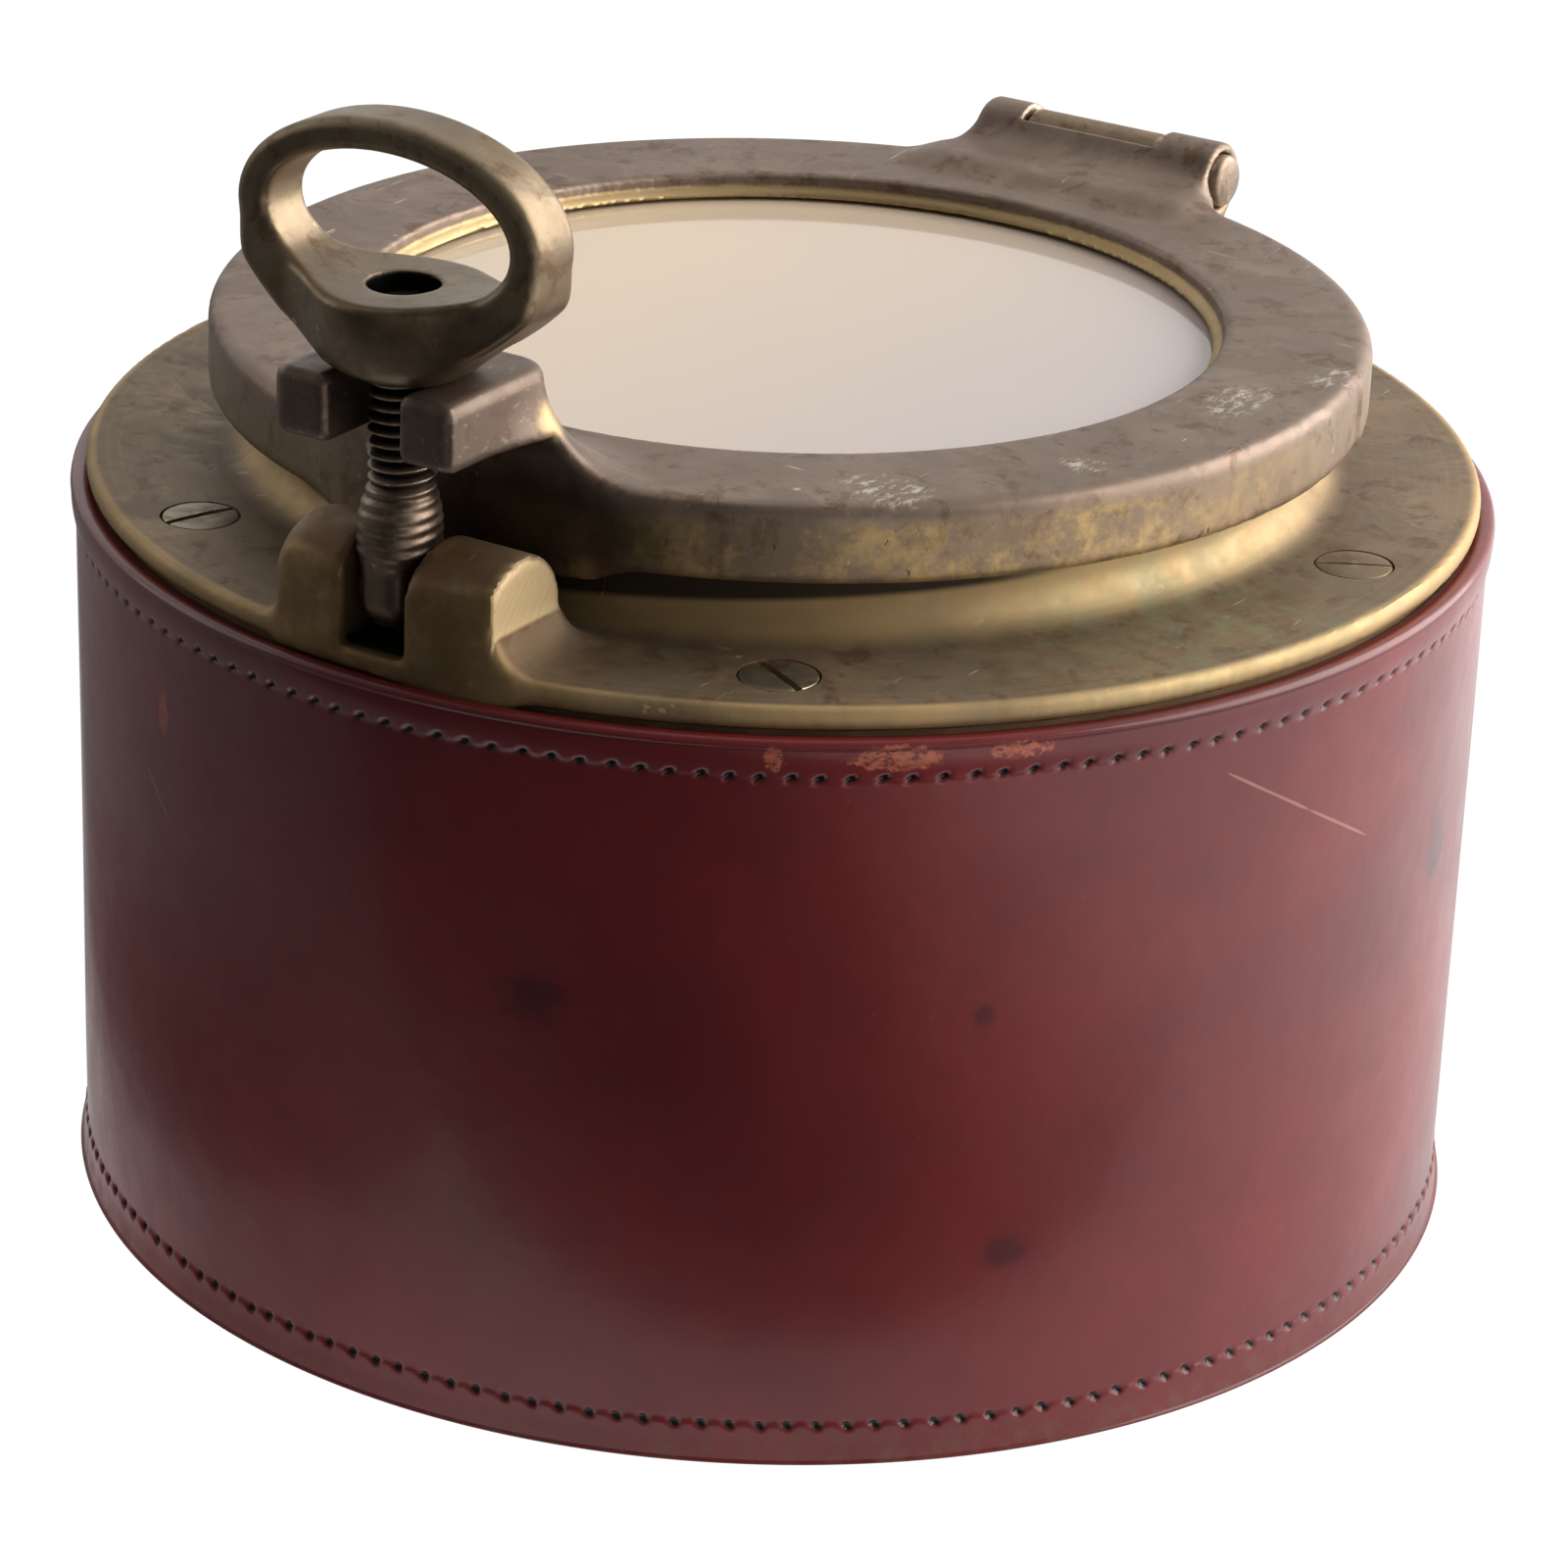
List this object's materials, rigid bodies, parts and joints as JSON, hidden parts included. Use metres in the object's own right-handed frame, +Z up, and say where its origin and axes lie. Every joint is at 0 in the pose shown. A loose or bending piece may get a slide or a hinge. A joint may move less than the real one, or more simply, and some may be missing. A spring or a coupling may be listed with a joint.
{
  "type": "ship's deck clock",
  "caption": "Leather-covered drum deck clock with a screwed brass flange and a hinged glazed lid held down by a swing bolt with a finger-ring nut.",
  "frame": {"origin": "centre of the underside of the drum", "axes": "+Z up along the drum's axis, -Y towards the swing bolt, +Y towards the hinge"},
  "size_m": [0.1762, 0.1762, 0.1543],
  "materials": {
    "case_wood": "satin, unseen inside the cover",
    "burgundy_leather": "glossy polished, worn at the edges",
    "baize": "matt",
    "aged_brass_flange": "aged, olive patina with bright worn edges",
    "aged_brass_screw": "aged, worn slots",
    "aged_bronze_lid": "purplish-brown patina, brass showing on worn rims",
    "aged_brass_nut": "olive patina, bright inner edge",
    "worn_bronze_bolt": "worn, dull",
    "clear_glass": "polished",
    "black_gasket": "matt",
    "clean_brass": "satin",
    "steel": "satin",
    "blued_steel": "blued, polished",
    "dial_enamel": "silvered or enamelled off-white, satin"
  },
  "bodies": {
    "case": {"wooden_case": "case_wood", "leather_wrap": "burgundy_leather", "base_pad": "baize", "flange_ring": "aged_brass_flange", "flange_screw_1": "aged_brass_screw", "flange_screw_2": "aged_brass_screw", "flange_screw_3": "aged_brass_screw", "flange_screw_4": "aged_brass_screw", "flange_screw_5": "aged_brass_screw", "flange_screw_6": "aged_brass_screw", "lid_seal": "black_gasket", "swing_bolt_pin": "steel", "dial": "dial_enamel", "dial_rim_ring": "clean_brass", "movement_back_plate": "clean_brass", "movement_front_plate": "clean_brass", "plate_pillar_1": "clean_brass", "plate_pillar_2": "clean_brass", "plate_pillar_3": "clean_brass", "plate_pillar_4": "clean_brass", "dial_foot_1": "clean_brass", "dial_foot_2": "clean_brass", "dial_foot_3": "clean_brass", "dial_foot_4": "clean_brass", "movement_screw_1": "steel", "movement_screw_2": "steel", "movement_screw_3": "steel"},
    "lid": {"lid_ring": "aged_bronze_lid", "glass": "clear_glass", "glass_gasket": "black_gasket", "glass_retaining_ring": "clean_brass", "hinge_pin": "aged_bronze_lid"},
    "swing_bolt": {"swing_bolt": "worn_bronze_bolt"},
    "nut_carrier": {"nut_thrust_washer": "steel"},
    "ring_nut": {"ring_nut": "aged_brass_nut"},
    "seconds": {"fourth_wheel": "clean_brass", "seconds_hand": "blued_steel"},
    "third": {"third_wheel": "clean_brass"},
    "minutes": {"centre_wheel": "clean_brass", "cannon_pinion": "steel", "minute_hand": "blued_steel"},
    "minute_wheel": {"minute_wheel": "clean_brass"},
    "hours": {"hour_wheel": "clean_brass", "hour_hand": "blued_steel"},
    "escape": {"escape_wheel": "steel"},
    "barrel": {"mainspring_barrel": "clean_brass"},
    "winding": {"winding_arbor": "steel"},
    "click": {"click": "steel"},
    "pallet": {"pallet_lever": "steel"},
    "balance": {"balance_wheel": "clean_brass", "hairspring": "blued_steel"}
  },
  "joints": [
    {"name": "lid_hinge", "type": "hinge", "parent": "case", "child": "lid", "pos_m": [0, 0.076, 0.1132], "axis": [-1, 0, 0], "range_deg": [0, 105]},
    {"name": "bolt_swing", "type": "hinge", "parent": "case", "child": "swing_bolt", "pos_m": [0, -0.0796, 0.099], "axis": [1, 0, 0], "range_deg": [0, 98]},
    {"name": "nut_rise", "type": "slide", "parent": "swing_bolt", "child": "nut_carrier", "axis": [0, 0, 1], "range_m": [0, 0.00423]},
    {"name": "nut_turn", "type": "hinge", "parent": "nut_carrier", "child": "ring_nut", "pos_m": [0, -0.0796, 0.13], "axis": [0, 0, 1], "range_deg": [0, 1080]},
    {"name": "seconds_turn", "type": "hinge", "parent": "case", "child": "seconds", "pos_m": [0, -0.025, 0.088], "axis": [0, 0, -1], "continuous": true},
    {"name": "third_turn", "type": "hinge", "parent": "case", "child": "third", "pos_m": [-0.012, -0.0126, 0.066], "axis": [0, 0, -1], "continuous": true},
    {"name": "minutes_turn", "type": "hinge", "parent": "case", "child": "minutes", "pos_m": [0, 0, 0.092], "axis": [0, 0, -1], "continuous": true},
    {"name": "minute_wheel_turn", "type": "hinge", "parent": "case", "child": "minute_wheel", "pos_m": [0.0106, 0, 0.085], "axis": [0, 0, -1], "continuous": true},
    {"name": "hours_turn", "type": "hinge", "parent": "case", "child": "hours", "pos_m": [0, 0, 0.09], "axis": [0, 0, -1], "continuous": true},
    {"name": "escape_turn", "type": "hinge", "parent": "case", "child": "escape", "pos_m": [0.0142, -0.0224, 0.066], "axis": [0, 0, -1], "continuous": true},
    {"name": "barrel_turn", "type": "hinge", "parent": "case", "child": "barrel", "pos_m": [0, 0.0205, 0.06], "axis": [0, 0, -1], "continuous": true},
    {"name": "winding_turn", "type": "hinge", "parent": "case", "child": "winding", "pos_m": [0, 0.0205, 0.088], "axis": [0, 0, -1], "range_deg": [0, 2520]},
    {"name": "click_rock", "type": "hinge", "parent": "case", "child": "click", "pos_m": [0.01, 0.026, 0.075], "axis": [0, 0, 1], "range_deg": [-12, 0]},
    {"name": "pallet_rock", "type": "hinge", "parent": "case", "child": "pallet", "pos_m": [0.0225, -0.014, 0.066], "axis": [0, 0, 1], "range_deg": [-5, 5]},
    {"name": "balance_swing", "type": "hinge", "parent": "case", "child": "balance", "pos_m": [0.027, -0.005, 0.07], "axis": [0, 0, 1], "range_deg": [-135, 135]}
  ],
  "couplings": [
    {"joint": "nut_rise", "follows": "nut_turn", "m_per_rad": 0.00022441},
    {"joint": "third_turn", "follows": "seconds_turn", "ratio": -0.13333},
    {"joint": "minutes_turn", "follows": "seconds_turn", "ratio": 0.016667},
    {"joint": "minute_wheel_turn", "follows": "seconds_turn", "ratio": -0.0055556},
    {"joint": "hours_turn", "follows": "seconds_turn", "ratio": 0.0013889},
    {"joint": "escape_turn", "follows": "seconds_turn", "ratio": -10},
    {"joint": "barrel_turn", "follows": "seconds_turn", "ratio": -0.0020833}
  ]
}
